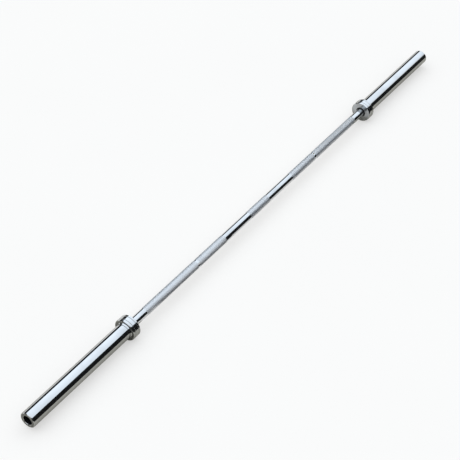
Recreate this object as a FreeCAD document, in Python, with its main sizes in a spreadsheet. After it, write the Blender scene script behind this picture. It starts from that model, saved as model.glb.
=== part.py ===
"""Olympic barbell: one knurled shaft that carries a free-turning bushed sleeve at each end.

The bar lies along X with the middle of its grip at the origin, +Z up, in millimetres.
Every piece is turned on a lathe, so each one is half a section revolved about its own X axis.
A piece is drawn from its inner end outwards, as it stands on the right-hand side (+X);
the left-hand copy is the same piece turned half round about Z.
"""
import FreeCAD, Part
import os
import Sketcher

# Driving dimensions
DIMENSIONS = {
    # Grip: the length between the collars and where its knurling starts and stops
    "grip_length": 1310,
    "grip_diameter": 28,
    "centre_knurl_length": 110,
    "smooth_gap_length": 135,
    "ring_mark_spacing": 670,
    "ring_mark_width": 5,
    "plain_end_length": 60,
    "knurl_height": 0.12,
    # Journals: the turned-down ends of the shaft that the sleeves run on
    "journal_step": 1.5,
    "shoulder_entry": 4,
    "shoulder_edge": 0.5,
    "journal_edge": 1,
    # Sleeves
    "sleeve_diameter": 50,
    "sleeve_length": 415,
    "sleeve_edge": 2,
    "sleeve_seat_step": 1,
    "mouth_edge": 1,
    "bushing_stop": 1,
    # Collars
    "collar_diameter": 72,
    "collar_width": 30,
    "collar_edge": 2,
    "rim_groove_spacing": 14,
    "rim_groove_width": 2.4,
    "rim_groove_depth": 1.8,
    "collar_lip": 9,
    "lip_clearance": 1,
    "hub_wall": 2.5,
    "hub_width": 4.5,
    "hub_lip": 0.6,
    # Dust seals
    "seal_section": 3.7,
    "seal_clearance": 0.3,
    "seal_pocket_depth": 5,
    "seal_recess": 0.4,
    "seal_edge": 0.8,
    # Bushings and the washers that take the end thrust
    "bushing_length": 40,
    "bushing_wall": 2.45,
    "bushing_edge": 0.5,
    "running_clearance": 0.05,
    "thrust_washer_thickness": 2,
    "washer_clearance": 0.3,
    "end_float": 0.3,
    # Retaining hardware in the sleeve's mouth
    "retaining_washer_thickness": 4,
    "retaining_washer_edge": 0.5,
    "lock_washer_thickness": 2.5,
    "lock_washer_section": 4,
    "lock_washer_slit": 1.5,
    "lock_washer_slant": 1.2,
    "screw_diameter": 12,
    "screw_length": 40,
    "screw_tip_edge": 1.5,
    "screw_head_diameter": 18,
    "screw_head_height": 12,
    "screw_head_edge": 1,
    "screw_recess": 15,
    "screw_clearance": 0.4,
    "socket_across_flats": 10,
    "socket_depth": 6,
    "thread_clearance": 0.1,
    "tapped_hole_spare": 5,
}

# Radii, written as expressions of the driving dimensions
GRIP_RADIUS = "dims.grip_diameter / 2"
KNURL_RADIUS = f"{GRIP_RADIUS} + dims.knurl_height"
JOURNAL_RADIUS = f"{GRIP_RADIUS} - dims.journal_step"
BUSHING_BORE = f"{JOURNAL_RADIUS} + dims.running_clearance"
BUSHING_RADIUS = f"{BUSHING_BORE} + dims.bushing_wall"
WASHER_BORE = f"{JOURNAL_RADIUS} + dims.washer_clearance"
WASHER_RADIUS = f"{BUSHING_RADIUS} - dims.washer_clearance"
SLEEVE_RADIUS = "dims.sleeve_diameter / 2"
SLEEVE_SEAT_RADIUS = f"{SLEEVE_RADIUS} - dims.sleeve_seat_step"
SLEEVE_BORE = f"{BUSHING_RADIUS} - dims.bushing_stop"
COLLAR_RADIUS = "dims.collar_diameter / 2"
HUB_RADIUS = f"{SLEEVE_RADIUS} + dims.hub_wall"
LIP_BORE = f"{GRIP_RADIUS} + dims.lip_clearance"
SEAL_BORE = f"{GRIP_RADIUS} + dims.seal_clearance"
SEAL_RADIUS = f"{SEAL_BORE} + dims.seal_section"
SCREW_RADIUS = "dims.screw_diameter / 2"
SCREW_HOLE = f"{SCREW_RADIUS} + dims.screw_clearance"
SCREW_HEAD_RADIUS = "dims.screw_head_diameter / 2"
TAPPED_HOLE = f"{SCREW_RADIUS} + dims.thread_clearance"
LOCK_WASHER_RADIUS = f"{SCREW_HOLE} + dims.lock_washer_section"

# Places along X, from the middle of the bar outwards
COLLAR_FACE = "dims.grip_length / 2"
SLEEVE_START = f"{COLLAR_FACE} + dims.collar_lip"
SLEEVE_END = f"{COLLAR_FACE} + dims.collar_width + dims.sleeve_length"
SHOULDER = f"{SLEEVE_START} + dims.shoulder_entry"
INNER_BUSHING = f"{SHOULDER} + dims.thrust_washer_thickness + dims.end_float"
SCREW_SEAT = f"{SLEEVE_END} - dims.screw_recess - dims.screw_head_height"
LOCK_WASHER = f"{SCREW_SEAT} - dims.lock_washer_thickness"
JOURNAL_END = f"{LOCK_WASHER} - dims.retaining_washer_thickness"
FRICTION_WASHER = f"{JOURNAL_END} - dims.thrust_washer_thickness"
OUTER_BUSHING = f"{FRICTION_WASHER} - dims.end_float - dims.bushing_length"
SCREW_TIP = f"{SCREW_SEAT} - dims.screw_length"

FULL_TURN = 360
HALF_TURN = 180
SIDES = {"left": -1, "right": 1}

doc = FreeCAD.newDocument("olympic_barbell")
dims = doc.addObject("Spreadsheet::Sheet", "dims")
for row, (alias, size) in enumerate(DIMENSIONS.items(), start=1):
    dims.set(f"A{row}", alias)
    dims.set(f"B{row}", str(size))
    dims.setAlias(f"B{row}", alias)
doc.recompute()


def size_of(expression):
    """Return the present value of an expression of the driving dimensions."""
    return float(dims.evalExpression(expression))


def origin_plane(body, role):
    """Return the body's own origin plane that has this role."""
    return next(part for part in body.Origin.OriginFeatures if part.Role == role)


def new_body(label):
    """Start an empty sub-part under its own name."""
    body = doc.addObject("PartDesign::Body", label)
    body.Label = label
    return body


def new_sketch(body, name, role):
    """Start a sketch on one of the body's origin planes."""
    sketch = body.newObject("Sketcher::SketchObject", name)
    sketch.AttachmentSupport = [(origin_plane(body, role), "")]
    sketch.MapMode = "FlatFace"
    return sketch


def bind_size(sketch, kind, first, first_end, second, second_end, expression):
    """Add a dimension between two points of a sketch and bind it to an expression."""
    rule = Sketcher.Constraint(kind, first, first_end, second, second_end, size_of(expression))
    index = sketch.addConstraint(rule)
    sketch.setExpression(f"Constraints[{index}]", expression)


def place_corner(sketch, line, kind, axis, expression):
    """Hold a line's first end on an axis, or at a bound distance from the sketch's origin."""
    if expression == "0":
        sketch.addConstraint(Sketcher.Constraint("PointOnObject", line, 1, axis))
    else:
        bind_size(sketch, kind, -1, 1, line, 1, expression)


def draw_outline(sketch, outline):
    """Draw a closed outline through (along, out) expressions and bind each of its corners."""
    corners = [FreeCAD.Vector(size_of(along), size_of(out), 0) for along, out in outline]
    lines = []
    for start, end in zip(corners, corners[1:] + corners[:1]):
        lines.append(sketch.addGeometry(Part.LineSegment(start, end)))
    for index, line in enumerate(lines):
        along, out = outline[index]
        last_along, last_out = outline[index - 1]
        sketch.addConstraint(Sketcher.Constraint("Coincident", lines[index - 1], 2, line, 1))
        if along == last_along:
            sketch.addConstraint(Sketcher.Constraint("Vertical", lines[index - 1]))
        else:
            place_corner(sketch, line, "DistanceX", -2, along)
        if out == last_out:
            sketch.addConstraint(Sketcher.Constraint("Horizontal", lines[index - 1]))
        else:
            place_corner(sketch, line, "DistanceY", -1, out)


def revolve(body, kind, name, outline):
    """Revolve an outline about the body's X axis, as added or as removed material."""
    sketch = new_sketch(body, f"{name}_outline", "XY_Plane")
    draw_outline(sketch, outline)
    turned = body.newObject(kind, name)
    turned.Profile = sketch
    turned.ReferenceAxis = (sketch, ["H_Axis"])
    turned.Angle = FULL_TURN
    return turned


def put(body, side, station):
    """Stand a piece at its station on one side; on the left it is turned half round about Z."""
    turn = HALF_TURN if side == "left" else 0
    body.Placement = FreeCAD.Placement(FreeCAD.Vector(), FreeCAD.Rotation(FreeCAD.Vector(0, 0, 1), turn))
    body.setExpression(".Placement.Base.x", f"{SIDES[side]} * ({station})")


def turned_piece(name, side, station, outline):
    """Make one turned piece of a side, named after both."""
    body = new_body(f"{name}_{side}")
    revolve(body, "PartDesign::Revolution", "turning", outline)
    put(body, side, station)
    return body


def ring_outline(length, bore, radius, edge):
    """Return the outline of a plain ring whose outer corners are broken by an edge."""
    return [
        ("0", bore),
        (length, bore),
        (length, f"{radius} - {edge}"),
        (f"{length} - {edge}", radius),
        (edge, radius),
        ("0", f"{radius} - {edge}"),
    ]


def make_shaft():
    """The one-piece shaft: a grip with raised knurl bands, two journals and their tapped ends."""
    centre_end = "dims.centre_knurl_length / 2"
    side_start = f"{centre_end} + dims.smooth_gap_length"
    ring_start = "dims.ring_mark_spacing / 2 - dims.ring_mark_width / 2"
    ring_end = "dims.ring_mark_spacing / 2 + dims.ring_mark_width / 2"
    side_end = f"{COLLAR_FACE} - dims.plain_end_length"
    body = new_body("shaft")
    half = revolve(body, "PartDesign::Revolution", "turning", [
        ("0", "0"),
        ("0", KNURL_RADIUS),
        (centre_end, KNURL_RADIUS),
        (centre_end, GRIP_RADIUS),
        (side_start, GRIP_RADIUS),
        (side_start, KNURL_RADIUS),
        (ring_start, KNURL_RADIUS),
        (ring_start, GRIP_RADIUS),
        (ring_end, GRIP_RADIUS),
        (ring_end, KNURL_RADIUS),
        (side_end, KNURL_RADIUS),
        (side_end, GRIP_RADIUS),
        (f"{SHOULDER} - dims.shoulder_edge", GRIP_RADIUS),
        (SHOULDER, f"{GRIP_RADIUS} - dims.shoulder_edge"),
        (SHOULDER, JOURNAL_RADIUS),
        (f"{JOURNAL_END} - dims.journal_edge", JOURNAL_RADIUS),
        (JOURNAL_END, f"{JOURNAL_RADIUS} - dims.journal_edge"),
        (JOURNAL_END, "0"),
    ])
    hole_floor = f"{SCREW_TIP} - dims.tapped_hole_spare"
    hole = revolve(body, "PartDesign::Groove", "tapped_hole", [
        (hole_floor, "0"),
        (hole_floor, TAPPED_HOLE),
        (JOURNAL_END, TAPPED_HOLE),
        (JOURNAL_END, "0"),
    ])
    mirror = body.newObject("PartDesign::Mirrored", "other_half")
    mirror.Originals = [half, hole]
    mirror.MirrorPlane = (origin_plane(body, "YZ_Plane"), [""])
    body.Tip = mirror


def make_sleeve(side):
    """The plate sleeve: a tube bored for a bushing at each end and turned down under the collar."""
    length = "dims.collar_width + dims.sleeve_length - dims.collar_lip"
    collar_seat = "dims.collar_width + dims.hub_width - dims.collar_lip"
    inner_stop = f"{INNER_BUSHING} + dims.bushing_length - ({SLEEVE_START})"
    outer_stop = f"{OUTER_BUSHING} - ({SLEEVE_START})"
    turned_piece("sleeve", side, SLEEVE_START, [
        ("0", BUSHING_RADIUS),
        (inner_stop, BUSHING_RADIUS),
        (inner_stop, SLEEVE_BORE),
        (outer_stop, SLEEVE_BORE),
        (outer_stop, BUSHING_RADIUS),
        (f"{length} - dims.mouth_edge", BUSHING_RADIUS),
        (length, f"{BUSHING_RADIUS} + dims.mouth_edge"),
        (length, f"{SLEEVE_RADIUS} - dims.sleeve_edge"),
        (f"{length} - dims.sleeve_edge", SLEEVE_RADIUS),
        (collar_seat, SLEEVE_RADIUS),
        (collar_seat, SLEEVE_SEAT_RADIUS),
        ("0", SLEEVE_SEAT_RADIUS),
    ])


def make_collar(side):
    """The collar that stops the plates, with a grooved rim, a tapered hub and a seal pocket."""
    width = "dims.collar_width"
    hub_face = f"{width} + dims.hub_width"
    grooves = []
    for sign in "+-":
        middle = f"{width} / 2 {sign} dims.rim_groove_spacing / 2"
        grooves += [
            (f"{middle} + dims.rim_groove_width / 2", COLLAR_RADIUS),
            (middle, f"{COLLAR_RADIUS} - dims.rim_groove_depth"),
            (f"{middle} - dims.rim_groove_width / 2", COLLAR_RADIUS),
        ]
    turned_piece("collar", side, COLLAR_FACE, [
        ("0", SEAL_RADIUS),
        ("dims.seal_pocket_depth", SEAL_RADIUS),
        ("dims.seal_pocket_depth", LIP_BORE),
        ("dims.collar_lip", LIP_BORE),
        ("dims.collar_lip", SLEEVE_SEAT_RADIUS),
        (hub_face, SLEEVE_SEAT_RADIUS),
        (hub_face, f"{SLEEVE_RADIUS} + dims.hub_lip"),
        (width, HUB_RADIUS),
        (width, f"{COLLAR_RADIUS} - dims.collar_edge"),
        (f"{width} - dims.collar_edge", COLLAR_RADIUS),
        *grooves,
        ("dims.collar_edge", COLLAR_RADIUS),
        ("0", f"{COLLAR_RADIUS} - dims.collar_edge"),
    ])


def make_dust_seal(side):
    """The rubber ring in the collar's pocket, with a bevelled lip close round the shaft."""
    width = "dims.seal_pocket_depth - dims.seal_recess"
    turned_piece("dust_seal", side, f"{COLLAR_FACE} + dims.seal_recess", [
        ("0", f"{SEAL_BORE} + dims.seal_edge"),
        ("dims.seal_edge", SEAL_BORE),
        (width, SEAL_BORE),
        (width, SEAL_RADIUS),
        ("0", SEAL_RADIUS),
    ])


def make_bearings(side):
    """The two bronze bushings of a sleeve and the two plastic washers that take its end thrust."""
    bushing = ring_outline("dims.bushing_length", BUSHING_BORE, BUSHING_RADIUS, "dims.bushing_edge")
    washer = [
        ("0", WASHER_BORE),
        ("dims.thrust_washer_thickness", WASHER_BORE),
        ("dims.thrust_washer_thickness", WASHER_RADIUS),
        ("0", WASHER_RADIUS),
    ]
    turned_piece("thrust_washer", side, SHOULDER, washer)
    turned_piece("inner_bushing", side, INNER_BUSHING, bushing)
    turned_piece("outer_bushing", side, OUTER_BUSHING, bushing)
    turned_piece("friction_washer", side, FRICTION_WASHER, washer)


def make_washers(side):
    """The steel washer that keeps the sleeve on and the split spring washer under the screw."""
    thickness = "dims.retaining_washer_thickness"
    edge = "dims.retaining_washer_edge"
    turned_piece("retaining_washer", side, JOURNAL_END, ring_outline(thickness, SCREW_HOLE, WASHER_RADIUS, edge))
    split = "dims.lock_washer_thickness"
    body = turned_piece("lock_washer", side, LOCK_WASHER, [
        ("0", SCREW_HOLE),
        (split, SCREW_HOLE),
        (split, LOCK_WASHER_RADIUS),
        ("0", LOCK_WASHER_RADIUS),
    ])
    slit = new_sketch(body, "slit_outline", "XY_Plane")
    draw_outline(slit, [
        ("0", "0"),
        ("0", "dims.lock_washer_slit"),
        (split, "dims.lock_washer_slit + dims.lock_washer_slant"),
        (split, "dims.lock_washer_slant"),
    ])
    cut = body.newObject("PartDesign::Pocket", "slit")
    cut.Profile = slit
    cut.Type = "ThroughAll"
    cut.Reversed = True


def make_cap_screw(side):
    """The socket-head screw in the shaft's end, drawn from its tip, with a hexagon socket in its head."""
    top = "dims.screw_length + dims.screw_head_height"
    body = turned_piece("cap_screw", side, SCREW_TIP, [
        ("0", "0"),
        ("0", f"{SCREW_RADIUS} - dims.screw_tip_edge"),
        ("dims.screw_tip_edge", SCREW_RADIUS),
        ("dims.screw_length", SCREW_RADIUS),
        ("dims.screw_length", SCREW_HEAD_RADIUS),
        (f"{top} - dims.screw_head_edge", SCREW_HEAD_RADIUS),
        (top, f"{SCREW_HEAD_RADIUS} - dims.screw_head_edge"),
        (top, "0"),
    ])
    flats = new_sketch(body, "socket_outline", "YZ_Plane")
    flats.setExpression(".AttachmentOffset.Base.z", top)
    draw_hexagon(flats, "dims.socket_across_flats / sqrt(3)")
    socket = body.newObject("PartDesign::Pocket", "socket")
    socket.Profile = flats
    socket.Type = "Length"
    socket.setExpression("Length", "dims.socket_depth")


def draw_hexagon(sketch, corner_radius):
    """Draw a regular hexagon about the sketch's origin, its size bound at the corners."""
    reach = size_of(corner_radius)
    guide = sketch.addGeometry(Part.Circle(FreeCAD.Vector(), FreeCAD.Vector(0, 0, 1), reach), True)
    sketch.addConstraint(Sketcher.Constraint("Coincident", guide, 3, -1, 1))
    size = sketch.addConstraint(Sketcher.Constraint("Radius", guide, reach))
    sketch.setExpression(f"Constraints[{size}]", corner_radius)
    first = FreeCAD.Vector(reach, 0, 0)
    spin = FreeCAD.Rotation(FreeCAD.Vector(0, 0, 1), FULL_TURN / 6)
    lines = []
    for _ in range(6):
        second = spin.multVec(first)
        lines.append(sketch.addGeometry(Part.LineSegment(first, second)))
        first = second
    for index, line in enumerate(lines):
        sketch.addConstraint(Sketcher.Constraint("Coincident", lines[index - 1], 2, line, 1))
        sketch.addConstraint(Sketcher.Constraint("PointOnObject", line, 1, guide))
    for line in lines[1:]:
        sketch.addConstraint(Sketcher.Constraint("Equal", lines[0], line))
    sketch.addConstraint(Sketcher.Constraint("PointOnObject", lines[0], 1, -1))


def check_document():
    """Stop if any object failed, or if a cut removed nothing."""
    for item in doc.Objects:
        if "Invalid" in item.State or "Error" in item.State:
            raise RuntimeError(f"{item.Label} failed: {item.State}")
        if item.isDerivedFrom("PartDesign::Pocket") or item.isDerivedFrom("PartDesign::Groove"):
            if item.Shape.Volume >= item.BaseFeature.Shape.Volume:
                raise RuntimeError(f"{item.Label} cut nothing")


def export_pieces():
    """Write each sub-part, one sound solid each, to its own file."""
    os.makedirs("parts", exist_ok=True)
    for body in doc.findObjects("PartDesign::Body"):
        shape = body.Shape
        if shape.isNull() or not shape.isValid() or len(shape.Solids) != 1:
            raise RuntimeError(f"{body.Label} is not one sound solid")
        shape.exportStep(f"parts/{body.Label}.step")
        print(f"{body.Label}: {shape.Volume:.0f} mm3")


make_shaft()
for each_side in SIDES:
    make_sleeve(each_side)
    make_collar(each_side)
    make_dust_seal(each_side)
    make_bearings(each_side)
    make_washers(each_side)
    make_cap_screw(each_side)
doc.recompute()
check_document()
export_pieces()
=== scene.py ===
"""Looks of an olympic barbell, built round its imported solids.

Lengths are in metres, in the frame of the solids: the bar lies along X with the middle of
its grip at the origin, and Z is up. A side's pieces are drawn as they stand on the right
(+X), and the left ones have the sign of X turned.
"""

import logging
import math
from abc import ABC, abstractmethod
from collections.abc import Sequence
from dataclasses import dataclass, field
from enum import Enum

import bmesh
import bpy
from bpy.types import Material, Mesh, Node, NodeSocket, NodeTree, Object
from mathutils import Euler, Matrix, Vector


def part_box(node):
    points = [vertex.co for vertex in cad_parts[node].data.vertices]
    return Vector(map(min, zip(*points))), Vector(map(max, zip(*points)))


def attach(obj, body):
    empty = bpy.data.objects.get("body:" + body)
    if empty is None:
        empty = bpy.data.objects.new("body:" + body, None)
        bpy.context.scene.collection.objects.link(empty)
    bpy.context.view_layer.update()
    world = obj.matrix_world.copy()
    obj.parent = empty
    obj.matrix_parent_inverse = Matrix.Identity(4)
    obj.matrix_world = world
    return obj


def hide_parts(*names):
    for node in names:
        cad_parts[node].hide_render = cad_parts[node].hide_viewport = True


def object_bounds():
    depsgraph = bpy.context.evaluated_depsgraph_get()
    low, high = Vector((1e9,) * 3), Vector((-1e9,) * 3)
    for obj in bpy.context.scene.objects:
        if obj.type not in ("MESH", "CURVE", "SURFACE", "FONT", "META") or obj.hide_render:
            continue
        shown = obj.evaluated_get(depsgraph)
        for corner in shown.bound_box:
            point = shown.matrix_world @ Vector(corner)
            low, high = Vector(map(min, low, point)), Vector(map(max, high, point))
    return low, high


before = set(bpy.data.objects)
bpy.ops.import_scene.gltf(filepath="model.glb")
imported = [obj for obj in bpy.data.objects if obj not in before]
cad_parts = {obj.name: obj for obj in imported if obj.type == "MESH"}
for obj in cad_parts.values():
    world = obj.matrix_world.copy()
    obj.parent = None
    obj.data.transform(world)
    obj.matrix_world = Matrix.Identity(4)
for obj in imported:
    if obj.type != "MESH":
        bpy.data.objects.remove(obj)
CAD_BOX = [list(corner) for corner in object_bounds()]

LOG = logging.getLogger("barbell")
MM = 0.001
MICRON = 0.001 * MM
# The collars rest on the floor
FLOOR_LEVEL = CAD_BOX[0][2]
# What is along the bar, and what is across it
ALONG = (1, 0, 0)
ACROSS = (0, 1, 1)


class Side(Enum):
    """The two ends of the bar, by the sign of their X."""

    LEFT = -1
    RIGHT = 1

    @property
    def label(self) -> str:
        """The side's name as the solids spell it."""
        return self.name.lower()

    @property
    def body(self) -> str:
        """The moving body that this side's sleeve belongs to."""
        return f"{self.label}_sleeve"

    def node(self, piece: str) -> str:
        """Name the solid of a piece on this side.

        Args:
            piece: the piece's name without its side.
        Returns:
            The solid's name.
        """
        return f"{piece}_{self.label}"


class Slot(Enum):
    """The record's material slots, by name."""

    SHAFT = "shaft_chrome"
    SLEEVE = "sleeve_chrome"
    COLLAR = "collar_chrome"


BAR_BODY = "bar"

# Numbers of the Mix node's colour sockets, whose names other sockets of it have too
MIX_A = 6
MIX_B = 7
MIX_RESULT = 2

# The sRGB curve: a straight toe, and a power above it
SRGB_TOE = 0.04045
SRGB_TOE_SLOPE = 12.92
SRGB_LIFT = 0.055
SRGB_POWER = 2.4
CHANNEL_TOP = 255


def linear(colour: str) -> tuple[float, float, float, float]:
    """Turn an sRGB hex colour into linear RGBA.

    Args:
        colour: six hex digits after a hash.
    Returns:
        Red, green, blue and an alpha of one.
    """
    shares = [channel / CHANNEL_TOP for channel in bytes.fromhex(colour[1:])]
    red, green, blue = (
        share / SRGB_TOE_SLOPE
        if share <= SRGB_TOE
        else ((share + SRGB_LIFT) / (1 + SRGB_LIFT)) ** SRGB_POWER
        for share in shares
    )
    return red, green, blue, 1.0


def add_node(
    tree: NodeTree,
    kind: str,
    inputs: dict[str | int, object] | None = None,
    **settings: object,
) -> Node:
    """Add one node, set its properties and fill or link its inputs.

    Args:
        tree: the node tree that takes it.
        kind: Blender's name of the node's class.
        inputs: a value or an output socket for each input, by name or number.
        **settings: the node's own properties.
    Returns:
        The new node.
    """
    node = tree.nodes.new(kind)
    for name, value in settings.items():
        setattr(node, name, value)
    for key, value in (inputs or {}).items():
        if isinstance(value, NodeSocket):
            tree.links.new(value, node.inputs[key])
        else:
            node.inputs[key].default_value = value
    return node


# Octaves of noise in soft patches and in fine grain
PATCH_DETAIL = 4.0
GRAIN_DETAIL = 2.0


def patches(
    tree: NodeTree,
    place: NodeSocket,
    size: float,
    limits: tuple[float, float],
) -> NodeSocket:
    """Spread soft uneven patches over a surface.

    Args:
        tree: the material's node tree.
        place: the coordinates that the patches lie in.
        size: about how far apart they are.
        limits: the levels of the noise at which a patch starts and is full.
    Returns:
        A socket that goes from zero between the patches to one inside them.
    """
    noise = add_node(tree, "ShaderNodeTexNoise", {
        "Vector": place, "Scale": 1 / size, "Detail": PATCH_DETAIL,
    }).outputs["Fac"]
    return add_node(tree, "ShaderNodeMapRange", {
        "Value": noise, "From Min": limits[0], "From Max": limits[1],
    }).outputs["Result"]


def axis_distance(tree: NodeTree, place: NodeSocket) -> NodeSocket:
    """Measure how far a place is from the bar's axis.

    Args:
        tree: the material's node tree.
        place: the place in the bar's frame.
    Returns:
        The distance's socket.
    """
    across = add_node(tree, "ShaderNodeVectorMath", {
        0: place, 1: ACROSS,
    }, operation="MULTIPLY").outputs["Vector"]
    return add_node(tree, "ShaderNodeVectorMath", {
        0: across,
    }, operation="LENGTH").outputs["Value"]


def vary(
    tree: NodeTree,
    shader: Node,
    share: NodeSocket,
    colours: tuple[object, object],
    roughness: tuple[float, float],
) -> None:
    """Let a share from zero to one change a shader's colour and gloss.

    Args:
        tree: the material's node tree.
        shader: its Principled BSDF.
        share: the share's socket.
        colours: the colours at zero and at one, or sockets that give them.
        roughness: the roughness at zero and at one.
    """
    tint = add_node(tree, "ShaderNodeMix", {
        "Factor": share, MIX_A: colours[0], MIX_B: colours[1],
    }, data_type="RGBA").outputs[MIX_RESULT]
    gloss = add_node(tree, "ShaderNodeMapRange", {
        "Value": share, "To Min": roughness[0], "To Max": roughness[1],
    }).outputs["Result"]
    tree.links.new(tint, shader.inputs["Base Color"])
    tree.links.new(gloss, shader.inputs["Roughness"])


def seen_rays(tree: NodeTree) -> NodeSocket:
    """Tell what is seen, straight or mirrored, from what only lights the bar.

    Args:
        tree: a material's or the world's node tree.
    Returns:
        A socket that is one for camera and glossy rays and zero for others.
    """
    light = add_node(tree, "ShaderNodeLightPath").outputs
    return add_node(tree, "ShaderNodeMath", {
        0: light["Is Camera Ray"], 1: light["Is Glossy Ray"],
    }, operation="ADD").outputs[0]


@dataclass(frozen=True)
class Finish(ABC):
    """A material and how its surface was made."""

    name: str

    def material(self) -> Material:
        """Make the finish's material, the first time it is asked for.

        Returns:
            The Blender material that has the finish's name.
        """
        made = bpy.data.materials.get(self.name)
        if made is None:
            made = bpy.data.materials.new(self.name)
            made.use_nodes = True
            self.dress(made.node_tree, made.node_tree.nodes["Principled BSDF"])
        return made

    @abstractmethod
    def dress(self, tree: NodeTree, shader: Node) -> None:
        """Add the finish's own nodes and link them to its shader.

        Args:
            tree: the material's node tree.
            shader: its Principled BSDF.
        """


@dataclass(frozen=True)
class Mottled(Finish):
    """A material whose colour, gloss and surface vary in small patches."""

    light: str
    dark: str
    patch_size: float
    metallic: float
    smooth: float
    rough: float
    grain_size: float
    grain_depth: float
    specular: float = 0.5
    patch_limits: tuple[float, float] = (0.35, 0.65)

    def dress(self, tree: NodeTree, shader: Node) -> None:
        """Patches change the colour and the gloss, and a finer grain tilts the normal."""
        place = add_node(tree, "ShaderNodeTexCoord").outputs["Object"]
        spread = patches(tree, place, self.patch_size, self.patch_limits)
        vary(
            tree, shader, spread, (linear(self.light), linear(self.dark)),
            (self.smooth, self.rough),
        )
        relief = add_node(tree, "ShaderNodeBump", {
            "Height": self.grain(tree, place), "Distance": self.grain_depth,
        })
        shader.inputs["Metallic"].default_value = self.metallic
        shader.inputs["Specular IOR Level"].default_value = self.specular
        tree.links.new(relief.outputs["Normal"], shader.inputs["Normal"])

    def grain(self, tree: NodeTree, place: NodeSocket) -> NodeSocket:
        """Roughen the surface, alike in all directions.

        Args:
            tree: the material's node tree.
            place: the coordinates that the grain lies in.
        Returns:
            A socket with the grain's height.
        """
        return add_node(tree, "ShaderNodeTexNoise", {
            "Vector": place, "Scale": 1 / self.grain_size, "Detail": GRAIN_DETAIL,
        }).outputs["Fac"]


@dataclass(frozen=True)
class PolishedChrome(Mottled):
    """Hard chrome plated on polished steel.

    It gives the eye a cold mirror, with hairline polishing rings round the bar and faint
    dull smears where hands and plates have rubbed it.
    """

    def grain(self, tree: NodeTree, place: NodeSocket) -> NodeSocket:
        """Leave rings round the bar, side by side along it."""
        along = add_node(tree, "ShaderNodeMapping", {"Vector": place, "Scale": ALONG})
        return super().grain(tree, along.outputs["Vector"])


@dataclass(frozen=True)
class FacedChrome(Mottled):
    """Chrome plated over a surface left as the lathe or the grinder cut it.

    It gives the eye a satin with fine tool marks in rings; on the end faces it is greyer than
    the polished rounds, and that grey is painted shade.
    """

    patch_size: float = 18 * MM
    metallic: float = 1.0
    smooth: float = 0.2
    rough: float = 0.34
    # Real tool marks are about a tenth of a millimetre apart, too fine to show
    grain_size: float = 0.7 * MM
    grain_depth: float = 3 * MICRON

    def grain(self, tree: NodeTree, place: NodeSocket) -> NodeSocket:
        """Leave rings round the axis, one outside another."""
        return add_node(tree, "ShaderNodeTexNoise", {
            "W": axis_distance(tree, place), "Scale": 1 / self.grain_size,
        }, noise_dimensions="1D").outputs["Fac"]


@dataclass(frozen=True)
class KnurledChrome(Finish):
    """Chrome plated over a rolled diamond knurl.

    It gives the eye a satin grey band: the crests are worn bright, and the grooves between them
    are duller and darker, partly as painted shade and partly as a little dirt.
    """

    root_radius: float
    crest_radius: float
    crest: str = "#e2e3e4"
    # The grooves' colour: darker than the crests as painted shade, with a little dirt
    groove_dirt_and_shade: str = "#b8b9bb"
    crest_roughness: float = 0.48
    groove_roughness: float = 0.6
    soil_size: float = 35 * MM
    soil_limits: tuple[float, float] = (0.5, 0.75)
    soil: str = "#d4d5d6"

    def dress(self, tree: NodeTree, shader: Node) -> None:
        """Colour and gloss follow the height above the grooves, darker low down as painted
        groove shade with a little dirt, and with soiled patches.
        """
        place = add_node(tree, "ShaderNodeTexCoord").outputs["Object"]
        height = add_node(tree, "ShaderNodeMapRange", {
            "Value": axis_distance(tree, place),
            "From Min": self.root_radius, "From Max": self.crest_radius,
        }).outputs["Result"]
        soiled = patches(tree, place, self.soil_size, self.soil_limits)
        top = add_node(tree, "ShaderNodeMix", {
            "Factor": soiled, MIX_A: linear(self.crest), MIX_B: linear(self.soil),
        }, data_type="RGBA").outputs[MIX_RESULT]
        # Painted shade: the colour darkens from the crests down into the grooves
        vary(
            tree, shader, height, (linear(self.groove_dirt_and_shade), top),
            (self.groove_roughness, self.crest_roughness),
        )
        shader.inputs["Metallic"].default_value = 1.0


@dataclass(frozen=True)
class SweepPaper(Mottled):
    """Matt background paper, lit from behind for what is seen of it.

    It gives the eye a clean, faintly uneven white that keeps a soft shadow.
    """

    glow: float = 0.5

    def material(self) -> Material:
        """Make the paper's material, which isn't sampled as a lamp.

        Returns:
            The Blender material that has the paper's name.
        """
        made = super().material()
        made.cycles.emission_sampling = "NONE"
        return made

    def dress(self, tree: NodeTree, shader: Node) -> None:
        """White light is mixed in where the paper is seen, and none of it reaches the bar."""
        super().dress(tree, shader)
        share = add_node(tree, "ShaderNodeMath", {
            0: seen_rays(tree), 1: self.glow,
        }, operation="MULTIPLY").outputs[0]
        white = add_node(tree, "ShaderNodeEmission").outputs["Emission"]
        mixed = add_node(tree, "ShaderNodeMixShader", {
            0: share, 1: shader.outputs["BSDF"], 2: white,
        }).outputs["Shader"]
        tree.links.new(mixed, tree.nodes["Material Output"].inputs["Surface"])


# Hard chrome on polished steel: the cold mirror of the shaft, the sleeves and the rims.
# Real polishing rings are a few hundredths of a millimetre apart, too fine to show
POLISHED_CHROME = PolishedChrome(
    "hard_chrome_polished", light="#cacbcc", dark="#bebfc0", patch_size=60 * MM, metallic=1.0,
    smooth=0.03, rough=0.075, grain_size=1.5 * MM, grain_depth=0.5 * MICRON,
    patch_limits=(0.45, 0.72),
)
# Hard chrome on end faces that look away from the grip: a dark grey satin, painted darker than
# the polished chrome as shade
OUTWARD_SHADED_CHROME = FacedChrome("hard_chrome_faced", light="#959695", dark="#7f807f")
# Hard chrome on end faces that look towards the grip: a bluer satin, painted darker than the
# polished chrome as shade, though lighter than on the faces that look away
INWARD_SHADED_CHROME = FacedChrome("hard_chrome_ground", light="#adb0b2", dark="#9ea0a1")
# Hard chrome on turned grooves: a pale satin line round each collar
GROOVE_CHROME = FacedChrome("hard_chrome_turned", light="#cfd0cf", dark="#bebfbe")
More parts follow.
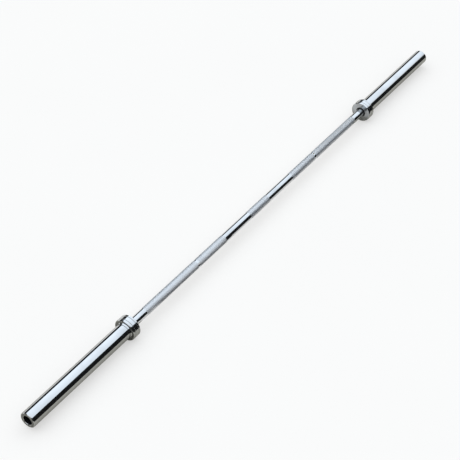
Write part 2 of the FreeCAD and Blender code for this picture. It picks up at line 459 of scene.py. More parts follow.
# Bored steel left unplated, with a dull oiled skin, painted nearly black as the shade deep in
# the bore
SHADED_BORE_STEEL = Mottled(
    "bored_steel_painted_shade", light="#34343a", dark="#1f1f21", patch_size=9 * MM, metallic=1.0,
    smooth=0.45, rough=0.65, grain_size=0.6 * MM, grain_depth=8 * MICRON,
)
# Moulded nitrile rubber: soft black, dusty in places
SEAL_RUBBER = Mottled(
    "nitrile_rubber_moulded", light="#262627", dark="#151516", patch_size=4 * MM, metallic=0.0,
    smooth=0.5, rough=0.72, grain_size=0.5 * MM, grain_depth=15 * MICRON,
)
# Sintered bronze soaked in oil: brown-gold, with fine open pores
BUSHING_BRONZE = Mottled(
    "sintered_bronze_oiled", light="#b3874f", dark="#7d5b32", patch_size=1.5 * MM, metallic=1.0,
    smooth=0.3, rough=0.5, grain_size=0.3 * MM, grain_depth=10 * MICRON,
)
# Machined nylon: milky off-white with faint tool marks
WASHER_NYLON = Mottled(
    "nylon_machined", light="#e6e1d4", dark="#d6d0c1", patch_size=6 * MM, metallic=0.0,
    smooth=0.38, rough=0.5, grain_size=0.4 * MM, grain_depth=6 * MICRON,
)
# Zinc-plated steel: pale blue-grey with a cloudy spangle
WASHER_STEEL = Mottled(
    "steel_zinc_plated", light="#bcc0c4", dark="#999ea3", patch_size=2.5 * MM, metallic=1.0,
    smooth=0.28, rough=0.42, grain_size=0.5 * MM, grain_depth=5 * MICRON,
)
# Black oxide on alloy steel: blue-black with a waxy half gloss
SCREW_STEEL = Mottled(
    "alloy_steel_black_oxide", light="#2d2f33", dark="#1b1c1f", patch_size=3 * MM, metallic=0.8,
    smooth=0.3, rough=0.45, grain_size=0.4 * MM, grain_depth=5 * MICRON,
)
# Matt background paper: clean and faintly uneven
FLOOR_PAPER = SweepPaper(
    "paper_matt", light="#ebe3da", dark="#eae2d9", patch_size=700 * MM, metallic=0.0,
    smooth=0.85, rough=0.95, grain_size=4 * MM, grain_depth=20 * MICRON, specular=0.0,
)
# Wool felt on the studio's mats: a warm mid grey that only the chrome mirrors
MAT_FELT = Mottled(
    "felt_grey", light="#b8b0a2", dark="#b3ab9d", patch_size=200 * MM, metallic=0.0,
    smooth=0.95, rough=1.0, grain_size=3 * MM, grain_depth=30 * MICRON, specular=0.0,
)
# Black velvet on the studio's flags: the deep black of the bands in the chrome
FLAG_VELVET = Mottled(
    "velvet_black", light="#0b0b0c", dark="#070708", patch_size=300 * MM, metallic=0.0,
    smooth=0.95, rough=1.0, grain_size=6 * MM, grain_depth=50 * MICRON,
)


@dataclass(frozen=True)
class Corner:
    """A corner of a turned section and the radius that its edge is broken to."""

    along: float
    out: float
    edge: float = 0.0


# How many flats make up a broken edge, and how much of a run beside it the edge may use up
EDGE_STEPS = 5
EDGE_SHARE = 0.45
# How near to its ends a straight run is held flat, and how long it must be for that
HOLD = 0.12 * MM
HELD_RUN = 4 * HOLD
# How far from its true place a face may lie and still count as there
SLACK = 0.12 * MM
# A point nearer to the axis than this is on it
AXIS_REACH = 0.001 * MM
# Faces that meet at more than this angle keep a sharp edge
CREASE = math.radians(40)
# A normal that has at least this share along the bar belongs to an end face
FLAT = 0.999


def broken_edge(before: Vector, here: Vector, after: Vector, edge: float) -> list[Vector]:
    """Round one corner of a section.

    Args:
        before: the corner before it.
        here: the corner itself.
        after: the corner after it.
        edge: the radius wanted, which a short run beside it makes smaller.
    Returns:
        Points along the rounded edge.
    """
    back = before - here
    ahead = after - here
    half_angle = back.angle(ahead) / 2
    longest = EDGE_SHARE * min(back.length, ahead.length)
    reach = min(edge / math.tan(half_angle), longest)
    radius = reach * math.tan(half_angle)
    inward = (back.normalized() + ahead.normalized()).normalized()
    middle = here + inward * (radius / math.sin(half_angle))
    first = here + back.normalized() * reach - middle
    last = here + ahead.normalized() * reach - middle
    sweep = first.angle_signed(last)
    return [
        middle + Vector((
            first.x * math.cos(turn) + first.y * math.sin(turn),
            first.y * math.cos(turn) - first.x * math.sin(turn),
        ))
        for turn in (sweep * step / EDGE_STEPS for step in range(EDGE_STEPS + 1))
    ]


def outline_points(corners: Sequence[Corner], closed: bool) -> list[Vector]:
    """Draw a section with its edges rounded.

    Each straight run also gets a point close to either end, which keeps the shading of the
    run flat up to its rounded edges.

    Args:
        corners: the section's corners in order.
        closed: whether the last corner joins the first.
    Returns:
        Points with the place along the bar and the distance from its axis.
    """
    places = [Vector((corner.along, corner.out)) for corner in corners]
    bends: list[list[Vector]] = []
    for number, corner in enumerate(corners):
        here = places[number]
        is_end = not closed and number in (0, len(corners) - 1)
        if corner.edge == 0.0 or is_end:
            bends.append([here])
        else:
            after = places[(number + 1) % len(places)]
            bends.append(broken_edge(places[number - 1], here, after, corner.edge))
    points: list[Vector] = []
    for number, bend in enumerate(bends):
        points += bend
        if number + 1 == len(bends) and not closed:
            break
        start = bend[-1]
        stop = bends[(number + 1) % len(bends)][0]
        if (stop - start).length > HELD_RUN:
            step = (stop - start).normalized() * HOLD
            points += [start + step, stop - step]
    return points


def turned_mesh(name: str, corners: Sequence[Corner], segments: int, closed: bool) -> Mesh:
    """Turn a section about the bar's axis.

    Args:
        name: the mesh's name.
        corners: the section's corners in order.
        segments: how many flats go round.
        closed: whether the section is a ring, and otherwise it starts and ends on the axis.
    Returns:
        A closed mesh with its faces pointing out.
    """
    turns = [math.tau * number / segments for number in range(segments)]
    shape = bmesh.new()
    rings: list[list[bmesh.types.BMVert]] = []
    for along, out in outline_points(corners, closed):
        if out < AXIS_REACH:
            rings.append([shape.verts.new((along, 0, 0))])
        else:
            rings.append([
                shape.verts.new((along, out * math.cos(turn), out * math.sin(turn)))
                for turn in turns
            ])
    pairs = list(zip(rings, rings[1:]))
    if closed:
        pairs.append((rings[-1], rings[0]))
    for first, second in pairs:
        for here in range(segments):
            there = (here + 1) % segments
            face = [
                first[here % len(first)],
                first[there % len(first)],
                second[there % len(second)],
                second[here % len(second)],
            ]
            shape.faces.new(dict.fromkeys(face))
    bmesh.ops.recalc_face_normals(shape, faces=shape.faces[:])
    mesh = bpy.data.meshes.new(name)
    shape.to_mesh(mesh)
    shape.free()
    mesh.shade_smooth()
    mesh.set_sharp_from_angle(angle=CREASE)
    return mesh


def add_piece(
    name: str, mesh: Mesh, body: str, slot: Slot, replaced: Sequence[str] = ()
) -> None:
    """Put a finished mesh in the scene as a piece of the bar.

    Args:
        name: the piece's name.
        mesh: its mesh, in place.
        body: the moving body it rides on.
        slot: the record's slot that its finish belongs to; not used.
        replaced: the solids that it stands for.
    """
    piece = bpy.data.objects.new(name, mesh)
    bpy.context.scene.collection.objects.link(piece)
    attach(piece, body)
    if replaced:
        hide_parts(*replaced)
    LOG.info("%s: %d faces on %s", name, len(mesh.polygons), body)


def dress_node(node: str, finish: Finish) -> None:
    """Give a solid that stays in view its finish.

    Args:
        node: the solid's name.
        finish: what it is made of.
    """
    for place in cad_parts[node].material_slots:
        place.material = finish.material()
    LOG.info("%s: dressed as %s", node, finish.name)


class KnurlTree:
    """Geometry nodes that lay diamonds out flat and wrap them round the bar."""

    INPUTS = {
        "NodeSocketFloat": (
            "Length", "Centre", "Smooth Radius", "Root Radius", "Depth", "Least Height",
            "Helix Angle", "Crest Share", "Run-out",
        ),
        "NodeSocketInt": ("Starts", "Seed"),
        "NodeSocketMaterial": ("Material",),
    }
    # Corners of two diamonds nearer to each other than this share of the pitch are joined
    SEAM_SHARE = 0.02
    # The name of each sum, the Math node's operation and what it works on
    SUMS = (
        # Spacing round the bar, and half a diamond's length fitted to the band
        ("girth", "MULTIPLY", "Smooth Radius", math.tau),
        ("pitch", "DIVIDE", "girth", "Starts"),
        ("half pitch", "MULTIPLY", "pitch", 0.5),
        ("slope", "TANGENT", "Helix Angle"),
        ("reach", "DIVIDE", "half pitch", "slope"),
        ("fits", "DIVIDE", "Length", "reach"),
        ("steps", "ROUND", "fits"),
        ("step", "DIVIDE", "Length", "steps"),
        # The flat grid of diamonds, with every other row moved by half a pitch
        ("rows", "SUBTRACT", "steps", 1.0),
        ("grid length", "MULTIPLY_ADD", "step", -2.0, "Length"),
        ("grid width", "SUBTRACT", "girth", "pitch"),
        ("rows before", "DIVIDE", "Index", "Starts"),
        ("row", "FLOOR", "rows before"),
        ("odd", "MODULO", "row", 2.0),
        ("shift", "MULTIPLY", "odd", "half pitch"),
        ("height", "MULTIPLY", "Depth", "worn"),
        # The radius, with the grooves running out at both ends of the band
        ("from middle", "ABSOLUTE", "X"),
        ("half length", "MULTIPLY", "Length", 0.5),
        ("from end", "SUBTRACT", "half length", "from middle"),
        ("run", "DIVIDE", "from end", "Run-out"),
        ("fade", "MINIMUM", "run", 1.0),
        ("full radius", "ADD", "Root Radius", "Z"),
        ("rise", "SUBTRACT", "full radius", "Smooth Radius"),
        ("radius", "MULTIPLY_ADD", "fade", "rise", "Smooth Radius"),
        # The place on the bar
        ("turn", "DIVIDE", "Y", "Smooth Radius"),
        ("sine", "SINE", "turn"),
        ("cosine", "COSINE", "turn"),
        ("along", "ADD", "X", "Centre"),
        ("across", "MULTIPLY", "radius", "sine"),
        ("above", "MULTIPLY", "radius", "cosine"),
        ("seam", "MULTIPLY", "pitch", SEAM_SHARE),
    )
    DIAMOND_SIDES = 4
    # Numbers of the Random Value node's sockets for floats
    RANDOM_LEAST = 2
    RANDOM_MOST = 3
    RANDOM_RESULT = 1

    def __init__(self) -> None:
        """Build the tree, with a knurl's sizes as its inputs and the band as its output."""
        self.tree = bpy.data.node_groups.new("diamond_knurl", "GeometryNodeTree")
        interface = self.tree.interface
        for kind, names in self.INPUTS.items():
            for name in names:
                interface.new_socket(name, in_out="INPUT", socket_type=kind)
        interface.new_socket("Geometry", in_out="OUTPUT", socket_type="NodeSocketGeometry")
        sums = self.work_out()
        add_node(self.tree, "NodeGroupOutput", {
            "Geometry": self.wrapped(sums, self.diamonds(sums)),
        })

    def work_out(self) -> dict[str, NodeSocket]:
        """Add the sums to the tree.

        Returns:
            The socket of each input, each place and each sum, by its name.
        """
        place = add_node(self.tree, "GeometryNodeInputPosition").outputs["Position"]
        sources = (
            add_node(self.tree, "NodeGroupInput"),
            add_node(self.tree, "GeometryNodeInputIndex"),
            add_node(self.tree, "ShaderNodeSeparateXYZ", {"Vector": place}),
        )
        sums = {socket.name: socket for source in sources for socket in source.outputs}
        sums["worn"] = add_node(self.tree, "FunctionNodeRandomValue", {
            self.RANDOM_LEAST: sums["Least Height"],
            self.RANDOM_MOST: 1.0,
            "Seed": sums["Seed"],
        }, data_type="FLOAT").outputs[self.RANDOM_RESULT]
        for name, operation, *terms in self.SUMS:
            sums[name] = add_node(self.tree, "ShaderNodeMath", {
                number: sums.get(term, term) for number, term in enumerate(terms)
            }, operation=operation).outputs[0]
        return sums

    def diamonds(self, sums: dict[str, NodeSocket]) -> NodeSocket:
        """Stand truncated diamonds without their bases on a flat grid.

        Args:
            sums: the sockets of the sums.
        Returns:
            The socket of the flat sheet of diamonds.
        """
        tree = self.tree
        grid = add_node(tree, "GeometryNodeMeshGrid", {
            "Size X": sums["grid length"], "Size Y": sums["grid width"],
            "Vertices X": sums["rows"], "Vertices Y": sums["Starts"],
        }).outputs["Mesh"]
        offset = add_node(tree, "ShaderNodeCombineXYZ", {"Y": sums["shift"]}).outputs["Vector"]
        places = add_node(tree, "GeometryNodeSetPosition", {
            "Geometry": grid, "Offset": offset,
        }).outputs["Geometry"]
        cone = add_node(tree, "GeometryNodeMeshCone", {
            "Vertices": self.DIAMOND_SIDES, "Depth": 1.0,
            "Radius Bottom": 1.0, "Radius Top": sums["Crest Share"],
        }, fill_type="NGON").outputs
        diamond = add_node(tree, "GeometryNodeDeleteGeometry", {
            "Geometry": cone["Mesh"], "Selection": cone["Bottom"],
        }, domain="FACE").outputs["Geometry"]
        scale = add_node(tree, "ShaderNodeCombineXYZ", {
            "X": sums["step"], "Y": sums["half pitch"], "Z": sums["height"],
        }).outputs["Vector"]
        standing = add_node(tree, "GeometryNodeInstanceOnPoints", {
            "Points": places, "Instance": diamond, "Scale": scale,
        }).outputs["Instances"]
        return add_node(tree, "GeometryNodeRealizeInstances", {
            "Geometry": standing,
        }).outputs["Geometry"]

    def wrapped(self, sums: dict[str, NodeSocket], flat: NodeSocket) -> NodeSocket:
        """Wrap the sheet round the bar, join its diamonds and dress them.

        Args:
            sums: the sockets of the sums.
            flat: the socket of the flat sheet.
        Returns:
            The socket of the band.
        """
        tree = self.tree
        place = add_node(tree, "ShaderNodeCombineXYZ", {
            "X": sums["along"], "Y": sums["across"], "Z": sums["above"],
        }).outputs["Vector"]
        curled = add_node(tree, "GeometryNodeSetPosition", {
            "Geometry": flat, "Position": place,
        }).outputs["Geometry"]
        joined = add_node(tree, "GeometryNodeMergeByDistance", {
            "Geometry": curled, "Distance": sums["seam"],
        }).outputs["Geometry"]
        softened = add_node(tree, "GeometryNodeSetShadeSmooth", {
            "Geometry": joined,
        }).outputs["Geometry"]
        return add_node(tree, "GeometryNodeSetMaterial", {
            "Geometry": softened, "Material": sums["Material"],
        }).outputs["Geometry"]


@dataclass
class Knurl:
    """A rolled diamond knurl, made of one truncated pyramid repeated round and along."""

    smooth_radius: float
    crest_radius: float
    depth: float = 0.22 * MM
    starts: int = 60
    helix: float = math.radians(30)
    # A diamond's flat top over its base, and the share of its height that wear can take
    crest_share: float = 0.3
    wear: float = 0.12
    # How far from a band's ends the grooves start to run out
    run_out: float = 4 * MM
    seed: int = 7
    finish: KnurledChrome = field(init=False)
    tree: NodeTree = field(init=False)

    def __post_init__(self) -> None:
        """Make the finish and the node tree that every band shares."""
        self.finish = KnurledChrome("rolled_knurl_chrome", self.root_radius, self.crest_radius)
        self.tree = KnurlTree().tree

    @property
    def root_radius(self) -> float:
        """The radius of the bottom of the grooves."""
        return self.crest_radius - self.depth

    def band(self, name: str, start: float, stop: float) -> None:
        """Knurl one stretch of the bar.

        Args:
            name: the band's name.
            start: where it starts along the bar.
            stop: where it stops.
        """
        sizes = {
            "Length": stop - start,
            "Centre": (start + stop) / 2,
            "Smooth Radius": self.smooth_radius,
            "Root Radius": self.root_radius,
            "Depth": self.depth,
            "Least Height": 1 - self.wear,
            "Starts": self.starts,
            "Helix Angle": self.helix,
            "Crest Share": self.crest_share,
            "Run-out": self.run_out,
            "Seed": self.seed,
            "Material": self.finish.material(),
        }
        blank = bpy.data.objects.new(f"{name}_blank", bpy.data.meshes.new(f"{name}_blank"))
        bpy.context.scene.collection.objects.link(blank)
        roller = blank.modifiers.new("knurl", "NODES")
        roller.node_group = self.tree
        for socket in self.tree.interface.items_tree:
            if socket.in_out == "INPUT":
                roller[socket.identifier] = sizes[socket.name]
        rolled = blank.evaluated_get(bpy.context.evaluated_depsgraph_get())
        mesh = bpy.data.meshes.new_from_object(rolled)
        mesh.name = name
        bpy.data.objects.remove(blank)
        self.close_ends(mesh)
        add_piece(name, mesh, BAR_BODY, Slot.SHAFT)

    @staticmethod
    def close_ends(mesh: Mesh) -> None:
        """Close both ends of a rolled band, inside the shaft.

        Args:
            mesh: the band's mesh.
        """
        shape = bmesh.new()
        shape.from_mesh(mesh)
        rims = [edge for edge in shape.edges if edge.is_boundary]
        for edge in rims:
            edge.smooth = False
        caps = bmesh.ops.holes_fill(shape, edges=rims)["faces"]
        bmesh.ops.poke(shape, faces=caps)
        bmesh.ops.recalc_face_normals(shape, faces=shape.faces[:])
        shape.to_mesh(mesh)
        shape.free()


@dataclass
class Shaft:
    """The one-piece shaft: a chromed grip with five knurl bands, and a journal at each end."""

    chrome: Finish = POLISHED_CHROME
    grip_radius: float = 14 * MM
    centre_knurl_end: float = 55 * MM
    side_knurl_start: float = 190 * MM
    ring_mark_start: float = 332.5 * MM
    ring_mark_end: float = 337.5 * MM
    plain_end_length: float = 60 * MM
    shoulder_radius: float = 13.5 * MM
    journal_radius: float = 12.5 * MM
    journal_edge: float = 1 * MM
    hole_radius: float = 6.1 * MM
    hole_depth: float = 38.5 * MM
    # How far under the grooves the shaft lies, and how it gets down there inside a band's ends
    knurl_bed: float = 0.04 * MM
    bed_entry: float = 2 * MM
    bed_slope: float = 1 * MM
    edge: float = 0.25 * MM
    segments: int = 144

    def knurl_bands(self) -> dict[str, tuple[float, float]]:
        """Lay out the knurl bands from left to right.

        Returns:
            Where each band starts and stops along the bar, by its name.
        """
        side_knurl_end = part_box(Side.RIGHT.node("collar"))[0].x - self.plain_end_length
        inner = (self.side_knurl_start, self.ring_mark_start)
        outer = (self.ring_mark_end, side_knurl_end)
        return {
            "knurl_left_outer": (-outer[1], -outer[0]),
            "knurl_left_inner": (-inner[1], -inner[0]),
            "knurl_centre": (-self.centre_knurl_end, self.centre_knurl_end),
            "knurl_right_inner": inner,
            "knurl_right_outer": outer,
        }

    def build(self) -> None:
        """Turn the shaft and knurl its bands."""
        crest_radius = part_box("shaft")[1].z
        knurl = Knurl(self.grip_radius, crest_radius)
        self.build_core(knurl.root_radius - self.knurl_bed)
        for name, (start, stop) in self.knurl_bands().items():
            knurl.band(name, start, stop)

    def build_core(self, bed_radius: float) -> None:
        """Turn the shaft itself, a little low under each knurl band.

        Args:
            bed_radius: the radius under the knurl.
        """
        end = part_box("shaft")[1].x
        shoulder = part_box(Side.RIGHT.node("thrust_washer"))[0].x
        floor = end - self.hole_depth
        grip = [
            Corner(along, out, self.edge)
            for start, stop in self.knurl_bands().values()
            for along, out in (
                (start + self.bed_entry, self.grip_radius),
                (start + self.bed_entry + self.bed_slope, bed_radius),
                (stop - self.bed_entry - self.bed_slope, bed_radius),
                (stop - self.bed_entry, self.grip_radius),
            )
        ]
        slope_start = shoulder - (self.grip_radius - self.shoulder_radius)
        right = [
            Corner(slope_start, self.grip_radius, self.edge),
            Corner(shoulder, self.shoulder_radius, self.edge),
            Corner(shoulder, self.journal_radius),
            Corner(end - self.journal_edge, self.journal_radius, self.edge),
            Corner(end, self.journal_radius - self.journal_edge, self.edge),
            Corner(end, self.hole_radius, self.edge),
            Corner(floor, self.hole_radius),
            Corner(floor, 0),
        ]
        left = [Corner(-corner.along, corner.out, corner.edge) for corner in reversed(right)]
        mesh = turned_mesh("turned_shaft", left + grip + right, self.segments, closed=False)
        mesh.materials.append(self.chrome.material())
        add_piece("turned_shaft", mesh, BAR_BODY, Slot.SHAFT, ["shaft"])


@dataclass
class SleeveEnd:
    """One end of the bar: the plate sleeve, its collar and what sits inside them."""

    side: Side
    chrome: Finish = POLISHED_CHROME
    # Chrome painted darker as shade on the end faces, more on those that look away from the grip
    faced: Finish = OUTWARD_SHADED_CHROME
    ground: Finish = INWARD_SHADED_CHROME
    grooved: Finish = GROOVE_CHROME
    bore_radius: float = 15 * MM
    stop_radius: float = 14 * MM
    seat_radius: float = 24 * MM
    sleeve_edge: float = 2 * MM
    mouth_edge: float = 1 * MM
    seal_pocket: float = 5 * MM
    seal_radius: float = 18 * MM
    lip_bore: float = 15 * MM
    collar_width: float = 30 * MM
    collar_edge: float = 2 * MM
    hub_radius: float = 27.5 * MM
    hub_lip: float = 0.6 * MM
    groove_spacing: float = 14 * MM
    groove_width: float = 2.4 * MM
    groove_depth: float = 1.8 * MM
    edge: float = 0.5 * MM
    fine_edge: float = 0.2 * MM
    segments: int = 192

    def reach(self, node: str) -> tuple[float, float]:
        """Where a solid of this side starts and stops, measured outwards from the middle.

        Args:
            node: the piece's name without its side.
        Returns:
            The near and far distance along the bar.
        """
        low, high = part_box(self.side.node(node))
        near, far = sorted((abs(low.x), abs(high.x)))
        return near, far

    def turned(self, name: str, corners: Sequence[Corner]) -> Mesh:
        """Turn a ring section on this side of the bar.

        Args:
            name: the mesh's name.
            corners: the section as it stands on the right.
        Returns:
            The turned mesh: polished round, with painted shade on its end faces, darker on those
                that look outward than on those that look inward, and bare steel painted near
                black as shade in its bore.
        """
        placed = [
            Corner(self.side.value * corner.along, corner.out, corner.edge) for corner in corners
        ]
        mesh = turned_mesh(name, placed, self.segments, closed=True)
        finishes = (self.chrome, self.faced, self.ground, SHADED_BORE_STEEL)
        for finish in finishes:
            mesh.materials.append(finish.material())
        # Painted shade: end faces take darker chrome by which way they look, and the bore takes
        # near-black steel
        for face in mesh.polygons:
            outward = face.normal.x * self.side.value
            if outward > FLAT:
                face.material_index = finishes.index(self.faced)
            if outward < -FLAT:
                face.material_index = finishes.index(self.ground)
            if math.hypot(face.center.y, face.center.z) < self.bore_radius + SLACK:
                face.material_index = finishes.index(SHADED_BORE_STEEL)
        return mesh

    def build(self) -> None:
        """Build the sleeve and the collar, and dress the solids that stay."""
        self.build_sleeve()
        self.build_collar()
        stays = {
            "dust_seal": SEAL_RUBBER,
            "thrust_washer": WASHER_NYLON,
            "inner_bushing": BUSHING_BRONZE,
            "outer_bushing": BUSHING_BRONZE,
            "friction_washer": WASHER_NYLON,
            "retaining_washer": WASHER_STEEL,
            "lock_washer": SCREW_STEEL,
            "cap_screw": SCREW_STEEL,
        }
        for piece, finish in stays.items():
            dress_node(self.side.node(piece), finish)

    def build_sleeve(self) -> None:
        """Turn the plate sleeve, chromed outside, with bare steel painted near black as shade in
        its bore.
        """
        start, end = self.reach("sleeve")
        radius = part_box(self.side.node("sleeve"))[1].z
        seat_end = self.reach("collar")[1]
        inner_stop = self.reach("inner_bushing")[1]
        outer_stop = self.reach("outer_bushing")[0]
        name = f"{self.side.label}_plate_sleeve"
        mesh = self.turned(name, [
            Corner(start, self.bore_radius),
            Corner(inner_stop, self.bore_radius),
            Corner(inner_stop, self.stop_radius),
            Corner(outer_stop, self.stop_radius),
            Corner(outer_stop, self.bore_radius),
            Corner(end - self.mouth_edge, self.bore_radius, self.edge),
            Corner(end, self.bore_radius + self.mouth_edge, self.edge),
            Corner(end, radius - self.sleeve_edge, self.edge),
            Corner(end - self.sleeve_edge, radius, self.edge),
            Corner(seat_end, radius, self.fine_edge),
            Corner(seat_end, self.seat_radius),
            Corner(start, self.seat_radius),
        ])
        add_piece(name, mesh, self.side.body, Slot.SLEEVE, [self.side.node("sleeve")])

    def build_collar(self) -> None:
        """Turn the collar, with two grooves in its rim and a tapered hub on the plate side."""
        face, hub_face = self.reach("collar")
        back = face + self.collar_width
        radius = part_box(self.side.node("collar"))[1].z
        sleeve_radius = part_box(self.side.node("sleeve"))[1].z
        lip = self.reach("sleeve")[0]
        middle = face + self.collar_width / 2
        grooves = [
            Corner(
                middle + sign * self.groove_spacing / 2 + share * self.groove_width / 2,
                radius - (0 if share else self.groove_depth),
                self.fine_edge,
            )
            for sign in (1, -1)
            for share in (1, 0, -1)
        ]
        name = f"{self.side.label}_collar_ring"
        mesh = self.turned(name, [
            Corner(face, self.seal_radius, self.fine_edge),
            Corner(face + self.seal_pocket, self.seal_radius),
            Corner(face + self.seal_pocket, self.lip_bore),
            Corner(lip, self.lip_bore),
            Corner(lip, self.seat_radius),
            Corner(hub_face, self.seat_radius, self.fine_edge),
            Corner(hub_face, sleeve_radius + self.hub_lip, self.fine_edge),
            Corner(back, self.hub_radius, self.fine_edge),
            Corner(back, radius - self.collar_edge, self.edge),
            Corner(back - self.collar_edge, radius, self.edge),
            *grooves,
            Corner(face + self.collar_edge, radius, self.edge),
            Corner(face, radius - self.collar_edge, self.edge),
        ])
        self.dull_grooves(mesh, middle, radius)
        add_piece(name, mesh, self.side.body, Slot.COLLAR, [self.side.node("collar")])

    def dull_grooves(self, mesh: Mesh, middle: float, radius: float) -> None:
        """Leave the grooves in a collar's rim as the lathe cut them.

        Args:
            mesh: the collar's mesh.
            middle: the middle of its rim, measured outwards along the bar.
            radius: the radius of its rim.
        """
        cut = len(mesh.materials)
        mesh.materials.append(self.grooved.material())
        for face in mesh.polygons:
            away = abs(abs(face.center.x) - middle)
            depth = radius - math.hypot(face.center.y, face.center.z)
            beside = abs(away - self.groove_spacing / 2) < self.groove_width / 2
            if beside and SLACK < depth < self.groove_depth + SLACK:
                face.material_index = cut


# Longer than the chrome can tell
CARD_REACH = 40.0
# Just above the floor, so that a mat covers it
MAT_LEVEL = FLOOR_LEVEL + 0.1 * MM


@dataclass(frozen=True)
class Card:
    """A card along the bar, by where it starts and stops and the Y and Z of its long edges."""

    name: str
    finish: Finish
    first_edge: tuple[float, float]
    second_edge: tuple[float, float]
    start: float = -CARD_REACH
    stop: float = CARD_REACH


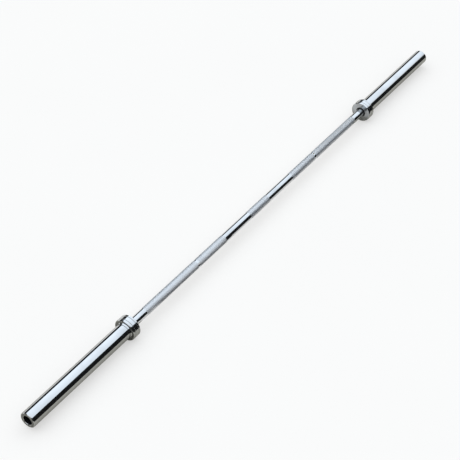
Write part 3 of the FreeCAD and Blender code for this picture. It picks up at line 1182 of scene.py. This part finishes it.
@dataclass
class Studio:
    """The pale floor, the cards that the chrome mirrors, the soft light and the camera."""

    floor_size: float = 60.0
    # The dome overhead: its colour, its strength, and the share that it gains behind the bar
    sky: str = "#e9f4ff"
    overhead: float = 1.6
    lean: float = 0.2
    # The wall under it: its colour, its strength as a light, and the colour of its foot
    backdrop: str = "#dfdfe0"
    backdrop_light: float = 0.45
    foot: str = "#f9fbfb"
    # The Z of directions: where the foot ends, and where the wall turns into the dome
    foot_height: float = 0.2
    horizon_height: tuple[float, float] = (0.37, 0.53)
    cards: tuple[Card, ...] = (
        # In front: the dark band low on the sleeves, the plain ends, the knurl and the grip
        Card("near_front_flag", FLAG_VELVET, (-0.14, FLOOR_LEVEL), (-0.14, 0.116), stop=-0.45),
        Card("far_front_flag", FLAG_VELVET, (-0.14, FLOOR_LEVEL), (-0.14, 0.116), start=0.6),
        Card("end_flag", FLAG_VELVET, (-0.1, FLOOR_LEVEL), (-0.1, 0.096), -0.57, -0.52),
        Card("knurl_flag", FLAG_VELVET, (-0.045, FLOOR_LEVEL), (-0.045, 0.006), -0.52, -0.13),
        Card("grip_flag", FLAG_VELVET, (-0.1, FLOOR_LEVEL), (-0.1, 0.096), -0.13, 0.74),
        # Nearer: a deeper black on the two smooth stretches beside the centre knurl
        Card("near_gap_flag", FLAG_VELVET, (-0.07, FLOOR_LEVEL), (-0.07, 0.082), -0.145, 0.03),
        Card("far_gap_flag", FLAG_VELVET, (-0.085, FLOOR_LEVEL), (-0.085, 0.09), 0.115, 0.3),
        # Far behind: the thin dark line along the top of the bar
        Card("back_flag", FLAG_VELVET, (7.0, 1.36), (7.0, 6.6)),
        # Overhead: a greyer far knurl
        Card("far_shade", MAT_FELT, (-0.06, 0.3), (0.12, 0.3), 0.52, 0.88),
        # Underneath: the warm grey along the bottom of the sleeves
        Card("near_mat", MAT_FELT, (-0.14, MAT_LEVEL), (0.45, MAT_LEVEL), stop=-0.6),
        Card("far_mat", MAT_FELT, (-0.14, MAT_LEVEL), (0.45, MAT_LEVEL), start=0.62),
    )
    # The camera: its place, its turn from the Y axis, its tilt downwards and its field of view
    camera_place: tuple[float, float, float] = (-2.6598, -1.7361, 2.5503)
    camera_yaw: float = math.radians(55.28)
    camera_pitch: float = math.radians(39.785)
    camera_angle: float = math.radians(20.524)

    def build(self) -> None:
        """Set the whole studio up."""
        self.build_floor()
        self.build_cards()
        self.build_sky()
        self.build_camera()
        bpy.context.scene.view_settings.view_transform = "Standard"

    @staticmethod
    def add_sheet(
        name: str, corners: Sequence[tuple[float, float, float]], finish: Finish
    ) -> Object:
        """Put a flat sheet in the scene that isn't part of the bar.

        Args:
            name: its name.
            corners: its corners in order.
            finish: what it is made of.
        Returns:
            Its object.
        """
        mesh = bpy.data.meshes.new(name)
        mesh.from_pydata(corners, [], [tuple(range(len(corners)))])
        mesh.materials.append(finish.material())
        sheet = bpy.data.objects.new(name, mesh)
        bpy.context.scene.collection.objects.link(sheet)
        LOG.info("%s: stage", name)
        return sheet

    def build_floor(self) -> None:
        """Lay the floor that the collars rest on."""
        half = self.floor_size / 2
        corners = [
            (half * x, half * y, FLOOR_LEVEL) for x, y in ((-1, -1), (1, -1), (1, 1), (-1, 1))
        ]
        self.add_sheet("floor", corners, FLOOR_PAPER)

    def build_cards(self) -> None:
        """Set cards along the bar for the chrome to reflect.

        Their edges draw straight bands on it. Only reflections see them.
        """
        for card in self.cards:
            corners = [
                (card.start, *card.first_edge), (card.stop, *card.first_edge),
                (card.stop, *card.second_edge), (card.start, *card.second_edge),
            ]
            sheet = self.add_sheet(card.name, corners, card.finish)
            sheet.visible_camera = False
            sheet.visible_diffuse = False
            sheet.visible_shadow = False

    def build_sky(self) -> None:
        """Light everything from a pale dome, brightest overhead and behind the bar."""
        world = bpy.data.worlds.new("soft_dome")
        bpy.context.scene.world = world
        world.use_nodes = True
        tree = world.node_tree
        ray = add_node(tree, "ShaderNodeTexCoord").outputs["Generated"]
        direction = add_node(tree, "ShaderNodeSeparateXYZ", {"Vector": ray}).outputs
        low = add_node(tree, "ShaderNodeMapRange", {
            "Value": seen_rays(tree), "To Min": self.backdrop_light, "To Max": 1.0,
        }).outputs["Result"]
        high = add_node(tree, "ShaderNodeMath", {
            0: direction["Y"], 1: self.lean * self.overhead, 2: self.overhead,
        }, operation="MULTIPLY_ADD").outputs[0]
        share = add_node(tree, "ShaderNodeMapRange", {
            "Value": direction["Z"],
            "From Min": self.horizon_height[0], "From Max": self.horizon_height[1],
        }).outputs["Result"]
        above_foot = add_node(tree, "ShaderNodeMapRange", {
            "Value": direction["Z"], "From Max": self.foot_height,
        }).outputs["Result"]
        wall = add_node(tree, "ShaderNodeMix", {
            "Factor": above_foot, MIX_A: linear(self.foot), MIX_B: linear(self.backdrop),
        }, data_type="RGBA").outputs[MIX_RESULT]
        colour = add_node(tree, "ShaderNodeMix", {
            "Factor": share, MIX_A: wall, MIX_B: linear(self.sky),
        }, data_type="RGBA").outputs[MIX_RESULT]
        strength = add_node(tree, "ShaderNodeMapRange", {
            "Value": share, "To Min": low, "To Max": high,
        }).outputs["Result"]
        dome = tree.nodes["Background"]
        tree.links.new(colour, dome.inputs["Color"])
        tree.links.new(strength, dome.inputs["Strength"])

    def build_camera(self) -> None:
        """Stand the camera at the near left end, looking down along the bar."""
        lens = bpy.data.cameras.new("camera")
        lens.angle = self.camera_angle
        camera = bpy.data.objects.new("camera", lens)
        camera.location = self.camera_place
        camera.rotation_euler = Euler((math.pi / 2 - self.camera_pitch, 0, -self.camera_yaw))
        bpy.context.scene.collection.objects.link(camera)
        bpy.context.scene.camera = camera


def main() -> None:
    """Build the bar and the studio round it."""
    logging.basicConfig(level=logging.INFO, format="%(name)s %(message)s")
    Studio().build()
    Shaft().build()
    for side in Side:
        SleeveEnd(side).build()


if __name__ == "__main__":
    main()
